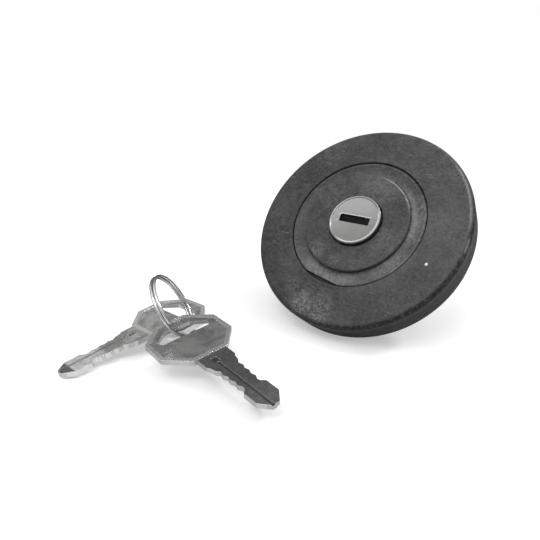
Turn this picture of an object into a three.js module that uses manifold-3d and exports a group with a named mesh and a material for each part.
// Lockable deck fill cap with its keys, lying on a flat surface: the cap leans on its skirt and
// on the foot of its neck, and the keys lie beside it. Units are millimetres and +Z runs up.
// The origin is on the surface, at the middle of everything's footprint. The cap's own frame,
// in which its pieces are drawn, has +Z along the cap axis, +X along the key slot and its
// origin at the centre of the gasket's sealing plane.
import * as THREE from 'three';
import Module from 'manifold-3d';

const wasm = await Module();
wasm.setup();

// ---------------------------------------------------------------- shared dimensions
// Sizes used by one piece only stand at the head of its section. A name ending in _Z that
// holds a pair is a [bottom, top] span.
const LEAN_DEG = 51.0;             // angle between the cap axis and the upright
const CAP_ORIGIN = new THREE.Vector3(6.8, 29.3, 28.32); // the cap frame's place
const PLUG_R = 6.0;                // lock plug
const CAM_FLAT_Y = 5.0;            // flats on the plug that drive the cam plate
const HINGE_Y = 1.75, HINGE_Z = 8.7;   // axis of the dust shutter, along X
const PIN_R = 0.8;                 // pins of the coupling bolts
const PIN_START_R = 7.8;           // their distance from the axis, bolts drawn in
const NECK_R = 19.0, NECK_IN_R = 17.0, NECK_BOTTOM = -20.0;
const DISC_SCREW_CIRCLE_R = 14.0;
const BASE_SCREW_CIRCLE_R = 15.2;

// ---------------------------------------------------------------- materials
const material = options => new THREE.MeshStandardMaterial(options);
const COVER = material({ color: 0x47484a, roughness: 0.62, metalness: 0 });
const BODY = material({ color: 0x2b2c2e, roughness: 0.6, metalness: 0 });
const STAINLESS = material({ color: 0xc4c6c8, roughness: 0.3, metalness: 1 });
const ZINC = material({ color: 0x9a9da1, roughness: 0.45, metalness: 0.9 });
const STEEL = material({ color: 0x8f9397, roughness: 0.4, metalness: 1 });
const BRASS = material({ color: 0xb5924c, roughness: 0.38, metalness: 1 });
const RUBBER = material({ color: 0x1a1a1b, roughness: 0.85, metalness: 0 });
const SPRING = material({ color: 0x7f8388, roughness: 0.35, metalness: 1 });
const NICKEL = material({ color: 0xa6a8aa, roughness: 0.32, metalness: 1 });

// ---------------------------------------------------------------- helpers
const radians = degrees => degrees * Math.PI / 180;
const times = (count, make) => Array.from({ length: count }, (_, i) => make(i));
const span = (width, centre = 0) => [centre - width / 2, centre + width / 2];
const addAll = (base, parts) => parts.reduce((sum, part) => sum.add(part), base);
const cutAll = (base, parts) => parts.reduce((rest, part) => rest.subtract(part), base);
const halfTurn = part => part.rotate([0, 0, 180]);
const withOpposite = part => [part, halfTurn(part)];

// Welds a geometry's vertices on a 1e-5 grid and makes it a solid whose faces point outward.
function solid(geometry) {
  const position = geometry.attributes.position;
  const order = geometry.index ? geometry.index.array : times(position.count, i => i);
  const points = [];
  const ids = new Map();
  const welded = times(position.count, i => {
    const point = new THREE.Vector3().fromBufferAttribute(position, i);
    point.multiplyScalar(1e5).round().divideScalar(1e5);
    const key = point.toArray().join();
    if (!ids.has(key)) ids.set(key, points.push(point) - 1);
    return ids.get(key);
  });
  const triangles = [];
  let volume = 0;
  for (let i = 0; i < order.length; i += 3) {
    const triangle = [0, 1, 2].map(corner => welded[order[i + corner]]);
    if (new Set(triangle).size < 3) continue;
    triangles.push(triangle);
    const [first, second, third] = triangle.map(id => points[id]);
    volume += first.dot(second.clone().cross(third));
  }
  if (volume < 0) triangles.forEach(triangle => triangle.reverse());
  return new wasm.Manifold(new wasm.Mesh({
    numProp: 3,
    vertProperties: new Float32Array(points.flatMap(point => point.toArray())),
    triVerts: new Uint32Array(triangles.flat()),
  }));
}

// Profile of [radius, z] points turned about Z, closed unless both ends lie on the axis.
function lathe(profile, segments = 48) {
  const points = profile.map(([radius, z]) => new THREE.Vector2(radius, z));
  const onAxis = points[0].x === 0 && points[points.length - 1].x === 0;
  if (!onAxis) points.push(points[0].clone());
  return solid(new THREE.LatheGeometry(points, segments).rotateX(Math.PI / 2));
}
const ring = (outerR, innerR, [z0, z1], segments) =>
  lathe([[innerR, z0], [outerR, z0], [outerR, z1], [innerR, z1]], segments);
const disc = (radius, [z0, z1], segments) =>
  lathe([[0, z0], [radius, z0], [radius, z1], [0, z1]], segments);
const torus = (meanR, wireR, z, segments) => lathe(times(6, i => {
  const angle = i / 6 * 2 * Math.PI;
  return [meanR + wireR * Math.cos(angle), z + wireR * Math.sin(angle)];
}), segments);

// Box between three [from, to] spans, turned about Z by an angle in radians.
function box([x0, x1], [y0, y1], [z0, z1], angle = 0) {
  const geometry = new THREE.BoxGeometry(x1 - x0, y1 - y0, z1 - z0);
  geometry.translate((x0 + x1) / 2, (y0 + y1) / 2, (z0 + z1) / 2);
  return solid(geometry.rotateZ(angle));
}
function rod(x, y, radius, [z0, z1], segments = 16) {
  const geometry = new THREE.CylinderGeometry(radius, radius, z1 - z0, segments);
  return solid(geometry.rotateX(Math.PI / 2).translate(x, y, (z0 + z1) / 2));
}
// Rod along X on the shutter's hinge axis.
function hingeRod(radius, [x0, x1]) {
  const geometry = new THREE.CylinderGeometry(radius, radius, x1 - x0, 16);
  return solid(geometry.rotateZ(Math.PI / 2).translate((x0 + x1) / 2, HINGE_Y, HINGE_Z));
}
function prism(outline, [z0, z1]) {
  const shape = new THREE.Shape(outline.map(([x, y]) => new THREE.Vector2(x, y)));
  const geometry = new THREE.ExtrudeGeometry(shape, { depth: z1 - z0, bevelEnabled: false });
  return solid(geometry.translate(0, 0, z0));
}

// Round wire swept along the curve that pointAt(t) gives for t from 0 to 1.
function sweep(pointAt, wireR, steps, sides) {
  const path = new THREE.Curve();
  path.getPoint = pointAt;
  const section = new THREE.Shape(times(sides, i => {
    const angle = i / sides * 2 * Math.PI;
    return new THREE.Vector2(wireR * Math.cos(angle), wireR * Math.sin(angle));
  }));
  return new THREE.ExtrudeGeometry(section, { steps, bevelEnabled: false, extrudePath: path });
}
// Geometry of a helical spring about Z.
function coil({ radius, wireR, z: [z0, z1], turns, perTurn, sides }) {
  const pointAt = t => {
    const angle = t * turns * 2 * Math.PI;
    const z = z0 + (z1 - z0) * t;
    return new THREE.Vector3(radius * Math.cos(angle), radius * Math.sin(angle), z);
  };
  return sweep(pointAt, wireR, Math.round(turns * perTurn), sides);
}

// Calls make(x, y, angle) at evenly spaced places on a circle about Z.
const around = (count, radius, startDeg, make) => times(count, i => {
  const angle = radians(startDeg + 360 * i / count);
  return make(radius * Math.cos(angle), radius * Math.sin(angle), angle);
});
const atDiscScrews = make => around(4, DISC_SCREW_CIRCLE_R, 45, make);
const atBaseScrews = make => around(3, BASE_SCREW_CIRCLE_R, 0, make);
const discScrewRods = (radius, zSpan) => atDiscScrews((x, y) => rod(x, y, radius, zSpan));
const baseScrewRods = (radius, zSpan) => atBaseScrews((x, y) => rod(x, y, radius, zSpan));

// Screw pointing up, with a cross recess in the underside of its head.
function screw(x, y, { shankR, shankZ, headR, headZ, crossLength, crossWidth, crossZ }) {
  return rod(x, y, shankR, shankZ)
    .add(rod(x, y, headR, headZ))
    .subtract(box(span(crossLength, x), span(crossWidth, y), crossZ))
    .subtract(box(span(crossWidth, x), span(crossLength, y), crossZ));
}

const group = new THREE.Group();
group.name = 'deck_fill_cap';
const capFrame = new THREE.Group();
capFrame.rotation.x = radians(LEAN_DEG);
capFrame.position.copy(CAP_ORIGIN);
group.add(capFrame);

// Adds a solid to its parent as a flat-shaded mesh.
function put(name, body, surface, parent = capFrame) {
  const { vertProperties, triVerts } = body.getMesh();
  const indexed = new THREE.BufferGeometry();
  indexed.setAttribute('position', new THREE.BufferAttribute(new Float32Array(vertProperties), 3));
  indexed.setIndex(new THREE.BufferAttribute(new Uint32Array(triVerts), 1));
  const geometry = indexed.toNonIndexed();
  geometry.computeVertexNormals();
  const mesh = new THREE.Mesh(geometry, surface);
  mesh.name = name;
  parent.add(mesh);
}

// ---------------------------------------------------------------- outer cover
const CAP_R = 35.0;
const SKIRT_IN_R = 32.8, SKIRT_BOTTOM = -2.5;
const EDGE_FILLET = 2.0;
const FACE_EDGE_Z = 7.85;          // face height at its outer edge
const FACE_CROWN_Z = 8.55;         // face height at the opening
const OPENING_R = 22.0;
const LEDGE_R = 20.0;              // inside of the drive ledge
const LEDGE_BOTTOM = 4.9, LEDGE_TOP = 6.55;
const NOTCH_R = 22.15, NOTCH_W = 5.2;
const NOTCH_Z = [LEDGE_BOTTOM - 0.5, LEDGE_TOP - 0.01]; // leaves a 0.01 skin on top
const RIB_R = 31.1, RIB_W = 1.4, RIB_Z = [-1.6, 5.6];   // ribs inside the skirt

// edge fillet in five steps, stopping at 84 degrees where the face takes over
const coverEdge = times(6, i => {
  const angle = radians(84 * i / 5);
  return [
    CAP_R - EDGE_FILLET + EDGE_FILLET * Math.cos(angle),
    FACE_EDGE_Z - EDGE_FILLET + EDGE_FILLET * Math.sin(angle),
  ];
});
let cover = lathe([
  [LEDGE_R, LEDGE_BOTTOM], [23.4, LEDGE_BOTTOM], [23.9, 5.35], [31.6, 5.1],
  [SKIRT_IN_R, 4.1], [SKIRT_IN_R, SKIRT_BOTTOM], [34.35, SKIRT_BOTTOM], [34.65, -2.2],
  ...coverEdge,
  [28.0, 8.24], [22.5, FACE_CROWN_Z], [22.12, 8.48], [OPENING_R, 8.25],
  [OPENING_R, LEDGE_TOP], [LEDGE_R, LEDGE_TOP],
], 60);
cover = cutAll(cover, around(12, 0, 0, (x, y, angle) =>
  box([LEDGE_R - 0.8, NOTCH_R], span(NOTCH_W), NOTCH_Z, angle)));
cover = addAll(cover, around(12, 0, 15, (x, y, angle) =>
  box([RIB_R, SKIRT_IN_R + 0.3], span(RIB_W), RIB_Z, angle)));
put('outer_cover', cover, COVER);

// ---------------------------------------------------------------- dished retaining ring
const RING_R = 21.7, RING_IN_R = 17.25, RING_LIP_R = 16.1;
const RELIEF_DEG = 259;            // pry relief in the outer rim
const dish = lathe([
  [RING_LIP_R, 6.65], [RING_R, 6.65], [RING_R, 7.85], [21.5, 8.12], [21.1, 8.16],
  [20.4, 7.86], [19.5, 7.54], [18.4, 7.45], [17.7, 7.56], [RING_IN_R, 7.7],
  [RING_IN_R, 7.42], [RING_LIP_R, 7.42],
]).subtract(box([20.85, 23], span(18), [7, 9], radians(RELIEF_DEG)));
put('retaining_ring', dish, COVER);

// ---------------------------------------------------------------- centre disc and its screws
const DISC_R = 17.0, DISC_HOLE_R = 8.7;
const DISC_BOTTOM = 7.5, DISC_TOP = 8.92;
let plate = lathe([
  [DISC_HOLE_R, DISC_BOTTOM], [DISC_R, DISC_BOTTOM], [DISC_R, 8.6], [16.88, 8.82],
  [16.6, DISC_TOP], [9.0, DISC_TOP], [DISC_HOLE_R, 8.7],
]);
plate = addAll(plate, discScrewRods(1.9, [5.0, DISC_BOTTOM + 0.2]));   // posts under the disc
plate = cutAll(plate, discScrewRods(0.95, [4.5, 7.9]));                // blind screw holes
put('centre_disc', plate, COVER);

const DISC_SCREW = {
  shankR: 0.85, shankZ: [0.2, 7.5], headR: 1.9, headZ: [-1.15, 0.35],
  crossLength: 2.4, crossWidth: 0.56, crossZ: [-1.6, -0.5],
};
atDiscScrews((x, y) => screw(x, y, DISC_SCREW))
  .forEach((part, i) => put(`disc_screw_${i + 1}`, part, STEEL));

// ---------------------------------------------------------------- lock face cap
const LOCK_R = 8.4, LOCK_TOP = 10.4;
const SLOT_L = 10.15, SLOT_W = 2.64;   // key slot
const lockFace = lathe([
  [0, 9.75], [7.4, 9.75], [7.7, 9.98], [8.1, 9.9], [8.1, 7.9], [LOCK_R, 7.9], [LOCK_R, 10.1],
  [8.3, 10.32], [8.05, LOCK_TOP], [7.75, 10.38], [7.45, 10.24], [7.25, 10.12], [0, 10.1],
], 40).subtract(box(span(SLOT_L), span(SLOT_W), [9, 11]));
put('lock_face_cap', lockFace, STAINLESS);

// ---------------------------------------------------------------- lock plug
const HEAD_R = 8.05;
const KEYWAY_L = 9.6, KEYWAY_W = 2.5;
// six wafers at an even pitch, every second one turned half round
const WAFERS = times(6, i => ({ z: 3.0 - 2.4 * i, turn: i % 2 ? Math.PI : 0 }));

let plug = lathe([
  [0, -16], [5.7, -16], [PLUG_R, -15.7], [PLUG_R, -15.2], [5.3, -15.2], [5.3, -14.25],
  [PLUG_R, -14.25], [PLUG_R, 3.9], [5.15, 3.9], [5.15, 4.8], [PLUG_R, 4.8], [PLUG_R, 7.4],
  [HEAD_R, 7.4], [HEAD_R, 9.7], [0, 9.7],
], 32);
plug = plug.subtract(box(span(KEYWAY_L), span(KEYWAY_W), [-17, 11]));
plug = cutAll(plug, withOpposite(box(span(14), [CAM_FLAT_Y, 7], [6.45, 7.4])));
// wafer slots, each with a spring pocket beside it
WAFERS.forEach(({ z, turn }) => {
  const slotZ = span(1.3, z);
  plug = plug.subtract(box(span(12.6), span(5.3), slotZ));
  plug = plug.subtract(box([-1.5, 3.5], [2.5, 4.25], slotZ, turn));
});
// room for the shutter in the head and for its swing below, then the bore for its pin
plug = plug.subtract(box(span(10.3), [-1.45, 2.6], [7.6, 11]));
plug = plug.subtract(box(span(10.2), [-1.45, 2.3], [5.6, 8]));
plug = plug.subtract(hingeRod(0.45, span(12.6)));
put('lock_plug', plug, ZINC);

// ---------------------------------------------------------------- dust shutter in the plug head
const SHUTTER_Z = [8.9, 9.4];
const shutter = box([-4.9, 2.3], [-1.25, HINGE_Y], SHUTTER_Z)
  .add(box([2.2, 4.9], [-1.25, 0.85], SHUTTER_Z))
  .add(hingeRod(0.75, [-4.9, 2.3]))
  .subtract(hingeRod(0.46, [-5.5, 3]));
put('shutter', shutter, STEEL);
put('shutter_pin', hingeRod(0.36, span(12.4)), STEEL);
const shutterSpring = coil({
  radius: 0.63, wireR: 0.1, z: [0, 2.2], turns: 4, perTurn: 9, sides: 4,
}).rotateY(Math.PI / 2).translate(2.5, HINGE_Y, HINGE_Z);
put('shutter_spring', solid(shutterSpring), SPRING);

// ---------------------------------------------------------------- cam plate
const CAM_R = 12.0;
const CAM_CLEARANCE = 0.08;        // around the plug
const PIN_CLEARANCE = 0.12;        // around a bolt pin
const PIN_TRAVEL = 2.4;
const CAM_SWEEP = Math.PI / 2;     // turn over which a slot moves its pin
const CAM_CUT_Z = [6, 8];

function spiralSlot() {
  const steps = 12;
  const halfWidth = PIN_R + PIN_CLEARANCE;
  const pointAt = angle => {
    const radius = PIN_START_R + PIN_TRAVEL * angle / CAM_SWEEP;
    return new THREE.Vector2(radius * Math.cos(angle), radius * Math.sin(angle));
  };
  // side is +1 for the edge on the left of the direction of travel, -1 for the right
  const edge = side => times(steps + 1, i => {
    const angle = CAM_SWEEP * i / steps;
    const { x, y } = pointAt(angle);
    const tangent = pointAt(angle + 1e-3).sub(pointAt(angle - 1e-3)).normalize();
    return [x - side * tangent.y * halfWidth, y + side * tangent.x * halfWidth];
  });
  const ends = [0, CAM_SWEEP].map(angle => {
    const { x, y } = pointAt(angle);
    return rod(x, y, halfWidth, CAM_CUT_Z, 18);
  });
  return addAll(prism([...edge(-1), ...edge(1).reverse()], CAM_CUT_Z), ends);
}
const camHole = disc(PLUG_R + CAM_CLEARANCE, CAM_CUT_Z, 40)
  .intersect(box(span(14), span(2 * (CAM_FLAT_Y + CAM_CLEARANCE)), CAM_CUT_Z));
const cam = cutAll(disc(CAM_R, [6.5, 7.3], 48), [camHole, ...withOpposite(spiralSlot())]);
put('cam_plate', cam, STEEL);

// ---------------------------------------------------------------- coupling bolts
const mirrored = half => [...half, ...half.slice().reverse().map(([x, y]) => [x, -y])];
// +Y half of the right-hand bolt's outline, [x, y]
const boltHalf = [[6.5, 3.4], [7.6, 4.5], [13.4, 4.5], [13.4, 2.2], [18.8, 2.2], [19.4, 1.6]];
const couplingBolt = prism(mirrored(boltHalf), [5.0, 6.4])
  .add(rod(PIN_START_R, 0, PIN_R, [6.0, 7.25]));
put('coupling_bolt_right', couplingBolt, STEEL);
put('coupling_bolt_left', halfTurn(couplingBolt), STEEL);

// ---------------------------------------------------------------- closure body
const HUB_R = 19.7;                // hub the cover turns on
const FLANGE_R = 30.5, FLANGE_BOTTOM = 2.6, FLANGE_TOP = 4.3;
const POCKET_Z = [4.95, 8];        // pocket in the top of the hub, cut through its rim
let body = lathe([
  [8.75, FLANGE_BOTTOM], [NECK_IN_R, FLANGE_BOTTOM], [NECK_IN_R, NECK_BOTTOM],
  [NECK_R, NECK_BOTTOM], [NECK_R, FLANGE_BOTTOM], [30.2, FLANGE_BOTTOM], [FLANGE_R, 2.9],
  [FLANGE_R, 4.0], [30.2, FLANGE_TOP], [HUB_R, FLANGE_TOP], [HUB_R, 6.3], [19.5, 6.5],
  [12.3, 6.5], [12.3, POCKET_Z[0]], [8.75, POCKET_Z[0]],
]);
body = cutAll(body, [
  box(span(32), span(9.2), POCKET_Z),       // channel for the wide part of the bolts
  box(span(42), span(4.7), POCKET_Z),       // channel for their tongues
  ...discScrewRods(2.05, POCKET_Z),         // seats for the disc's posts
  ...discScrewRods(1.05, [2, 6]),
  ...withOpposite(box(span(9.6), [15, 20], [-14.2, -9.8])),   // neck windows for the ears
]);
body = addAll(body, baseScrewRods(1.9, [NECK_BOTTOM, -14.5]));
body = cutAll(body, baseScrewRods(0.8, [NECK_BOTTOM - 1, -15.3]));
put('closure_body', body, BODY);

// ---------------------------------------------------------------- slip washer and gasket
put('slip_washer', ring(29.0, 20.2, [4.36, 4.84], 48), STAINLESS);

const GASKET_R = 29.0, GASKET_IN_R = 19.2, GASKET_T = 2.5, GASKET_CHAMFER = 0.4;
put('gasket', lathe([
  [GASKET_IN_R, 0], [GASKET_R - GASKET_CHAMFER, 0], [GASKET_R, GASKET_CHAMFER],
  [GASKET_R, GASKET_T - GASKET_CHAMFER], [GASKET_R - GASKET_CHAMFER, GASKET_T],
  [GASKET_IN_R, GASKET_T],
]), RUBBER);

// ---------------------------------------------------------------- lock housing
const HOUSING_R = 8.6, HOUSING_BORE_R = 6.1;
let housing = lathe([
  [HOUSING_BORE_R, -14.2], [HOUSING_R, -14.2], [HOUSING_R, 0.4], [16.6, 0.4], [16.6, 2.5],
  [11.6, 2.5], [11.6, 1.25], [9.7, 1.25], [9.7, 2.5], [HOUSING_R, 2.5], [HOUSING_R, 4.9],
  [HOUSING_BORE_R, 4.9],
], 36);
housing = cutAll(housing, [
  ...discScrewRods(1.05, [0, 3]),
  ...withOpposite(box([5, 7.4], span(5.7), [-9.8, 3.75])),    // grooves in the bore
]);
put('lock_housing', housing, ZINC);
put('housing_oring', torus(10.65, 0.58, 1.88, 32), RUBBER);
put('plug_oring', torus(5.62, 0.38, 4.35, 28), RUBBER);
const circlip = ring(7.3, 5.38, [-15.12, -14.33], 36)
  .subtract(box(span(2.4), [2, 9], [-16, -13]));
put('circlip', circlip, SPRING);

// ---------------------------------------------------------------- wafers and their springs
const WAFER_T = 1.2;
WAFERS.forEach(({ z, turn }, i) => {
  const waferZ = span(WAFER_T, z);
  const cutZ = span(WAFER_T + 2, z);
  const wafer = disc(5.9, waferZ, 32)
    .intersect(box(span(14), span(5.1), cutZ))
    .add(box([1.5, 2.3], [2.3, 4.1], waferZ, turn))   // tab against the spring
    .subtract(box(span(9.5), span(2.7), cutZ));
  put(`wafer_${i + 1}`, wafer, BRASS);
  const spring = coil({
    radius: 0.45, wireR: 0.09, z: [0, 2.55], turns: 3.5, perTurn: 8, sides: 3,
  }).rotateY(Math.PI / 2).translate(-1.28, 3.35, z).rotateZ(turn);
  put(`wafer_spring_${i + 1}`, solid(spring), SPRING);
});

// ---------------------------------------------------------------- sprung bayonet plate
const EAR_R = 22.5, EAR_W = 9.0;
const BAYONET_Z = [-11.5, -10.0];
const ear = prism([
  [-EAR_W / 2, 14], [EAR_W / 2, 14], [EAR_W / 2, 21.2], [EAR_W / 2 - 1.3, EAR_R],
  [-EAR_W / 2 + 1.3, EAR_R], [-EAR_W / 2, 21.2],
], BAYONET_Z);
put('bayonet_plate', addAll(ring(16.7, 9.4, BAYONET_Z, 40), withOpposite(ear)), STAINLESS);
put('bayonet_spring', solid(coil({
  radius: 12.2, wireR: 0.6, z: [-19.3, -12.25], turns: 3.5, perTurn: 18, sides: 5,
})), SPRING);

// ---------------------------------------------------------------- base cover and its screws
const FOOT_Z = -22.0;              // underside
let base = lathe([
  [2.2, FOOT_Z], [18.5, FOOT_Z], [18.95, -21.55], [18.95, -20.1], [2.2, -20.1],
], 40);
base = cutAll(base, baseScrewRods(1.9, [FOOT_Z - 1, -20.85]));
base = cutAll(base, baseScrewRods(0.85, [FOOT_Z - 1, -19]));
put('base_cover', base, BODY);

const BASE_SCREW = {
  shankR: 0.7, shankZ: [-21.2, -15.7], headR: 1.7, headZ: [-21.9, -20.92],
  crossLength: 2.2, crossWidth: 0.5, crossZ: [-23, -21.4],
};
atBaseScrews((x, y) => screw(x, y, BASE_SCREW))
  .forEach((part, i) => put(`base_screw_${i + 1}`, part, STEEL));

// ---------------------------------------------------------------- vent valve
const cage = lathe([
  [4.4, -20.02], [5.0, -20.02], [5.0, -16.5], [1.0, -16.5], [1.0, -17.0], [4.4, -17.0],
], 24)
  .subtract(box(span(2.4), span(12), [-19.2, -17.8]))
  .subtract(box(span(12), span(2.4), [-19.2, -17.8]));
put('vent_cage', cage, BODY);
put('vent_valve', lathe([
  [0, -21.3], [0.65, -21.3], [0.65, -20.0], [3.4, -20.0], [3.4, -19.5], [3.0, -19.3],
  [0.65, -19.3], [0.65, -17.6], [0, -17.6],
], 20), RUBBER);
put('vent_spring', solid(coil({
  radius: 1.5, wireR: 0.16, z: [-19.05, -17.25], turns: 3.5, perTurn: 10, sides: 4,
})), SPRING);

// ---------------------------------------------------------------- keys
// A key is drawn flat from z = 0 with its shoulder at the origin and its tip along +X.
const KEY_SIZE = 0.767;            // size of a key against its drawing
const BOW_SCALE = 1.18;
const KEY_LENGTH = 33.0;           // blade tip from the shoulder
const KEY_T = 2.2;
const BOW_RIM_W = 1.5, WEB_INSET = 0.35;   // raised rim of the bow, web set in from it
const BLADE_INSET = 0.15;

// +Y halves of the outlines, [x, y]; the bow and its opening are drawn before scaling
const scaled = points => points.map(([x, y]) => [x * BOW_SCALE, y * BOW_SCALE]);
const bowOutline = mirrored(scaled([[0.2, 5.9], [-6.5, 12.6], [-15.8, 12.5], [-22.2, 5.0]]));
const openingOutline = mirrored(scaled([[-12.6, 8.2], [-14.6, 9.4], [-18.0, 4.6]]));
const bladeOutline = mirrored([
  [-1.5, 5.9], [0.2 * BOW_SCALE, 5.9], [5.6, 5.9], [6.6, 5.2], [7.4, 5.0], [9.0, 4.6],
  [10.4, 3.6], [12.4, 4.1], [14.0, 3.4], [15.6, 3.9], [17.4, 3.2], [19.2, 3.7],
  [20.8, 2.9], [22.0, 3.1], [23.2, 4.55], [29.2, 4.55], [KEY_LENGTH, 1.4],
]);

// Insets a convex anticlockwise outline.
function inset(outline, distance) {
  const count = outline.length;
  const inward = ([x0, y0], [x1, y1]) => {
    const length = Math.hypot(x1 - x0, y1 - y0);
    return [-(y1 - y0) / length, (x1 - x0) / length];
  };
  return outline.map(([x, y], i) => {
    const before = inward(outline[(i + count - 1) % count], [x, y]);
    const after = inward([x, y], outline[(i + 1) % count]);
    const reach = distance / (1 + before[0] * after[0] + before[1] * after[1]);
    return [x + (before[0] + after[0]) * reach, y + (before[1] + after[1]) * reach];
  });
}

// A groove in the lower face and its opposite in the upper face, across the centre line.
const groovePair = (xSpan, [y0, y1], depth) => [
  box(xSpan, [y0, y1], [-1, depth]),
  box(xSpan, [-y1, -y0], [KEY_T - depth, 5]),
];

function makeKey() {
  const through = [-1, 5];
  const web = prism(bowOutline, [WEB_INSET, KEY_T - WEB_INSET]);
  const rim = prism(bowOutline, [0, KEY_T])
    .subtract(prism(inset(bowOutline, BOW_RIM_W), through));
  const blade = prism(bladeOutline, [BLADE_INSET, KEY_T - BLADE_INSET])
    .subtract(box([-3, -0.6], span(14), through));
  return cutAll(web.add(rim).add(blade), [
    prism(openingOutline, through),
    ...groovePair([5.2, 34], [0.4, 1.6], 0.55),   // narrow groove along the blade
    ...groovePair([2.4, 6.0], [-0.2, 2.4], 0.5),  // short wider run-out it starts in
  ]);
}

// x and y of the shoulder from the cap's origin, z above the surface, then turn, tip-down
// pitch and roll in degrees
const KEY_PLACES = [
  { x: -10.752, y: -62.039, z: 5.868, yaw: -11.17, pitch: 4.72, roll: 6.62 },
  { x: -37.913, y: -62.188, z: 3.767, yaw: -97.21, pitch: 8.17, roll: 3.63 },
];
const key = makeKey();
KEY_PLACES.forEach(({ x, y, z, yaw, pitch, roll }, i) => {
  const frame = new THREE.Group();
  frame.position.set(CAP_ORIGIN.x + x, CAP_ORIGIN.y + y, z);
  frame.rotation.set(radians(roll), radians(pitch), radians(yaw), 'ZYX');
  frame.scale.setScalar(KEY_SIZE);
  group.add(frame);
  put(`key_${i + 1}`, key, NICKEL, frame);
});

// ---------------------------------------------------------------- split ring
// Two turns of round wire about X, joined by a short step, threaded through both bows.
const SPLIT_RING = {
  meanR: 9.87, wireR: 0.45,
  offset: 0.49,                    // of each turn from the mid plane
  gap: radians(26),                // left open at each end of the wire
  stepHalf: radians(20),           // half the angle the step takes
  start: 0.9,                      // radians, where the turns begin
};
const SPLIT_RING_AXIS = new THREE.Vector3(-0.68487, -0.51205, -0.51843).normalize();

function splitRingPoint(t) {
  const { meanR, offset, gap, stepHalf, start } = SPLIT_RING;
  const angle = gap + t * (4 * Math.PI - 2 * gap);
  const step = THREE.MathUtils.clamp((angle - 2 * Math.PI) / stepHalf, -1, 1);
  return new THREE.Vector3(
    offset * Math.sin(step * Math.PI / 2),
    meanR * Math.cos(angle + start),
    meanR * Math.sin(angle + start),
  );
}
const ringFrame = new THREE.Group();
ringFrame.position.set(CAP_ORIGIN.x - 30.4, CAP_ORIGIN.y - 56.7, 12.80);
ringFrame.quaternion.setFromUnitVectors(new THREE.Vector3(1, 0, 0), SPLIT_RING_AXIS);
group.add(ringFrame);
put('split_ring', solid(sweep(splitRingPoint, SPLIT_RING.wireR, 72, 6)), SPRING, ringFrame);

export default group;
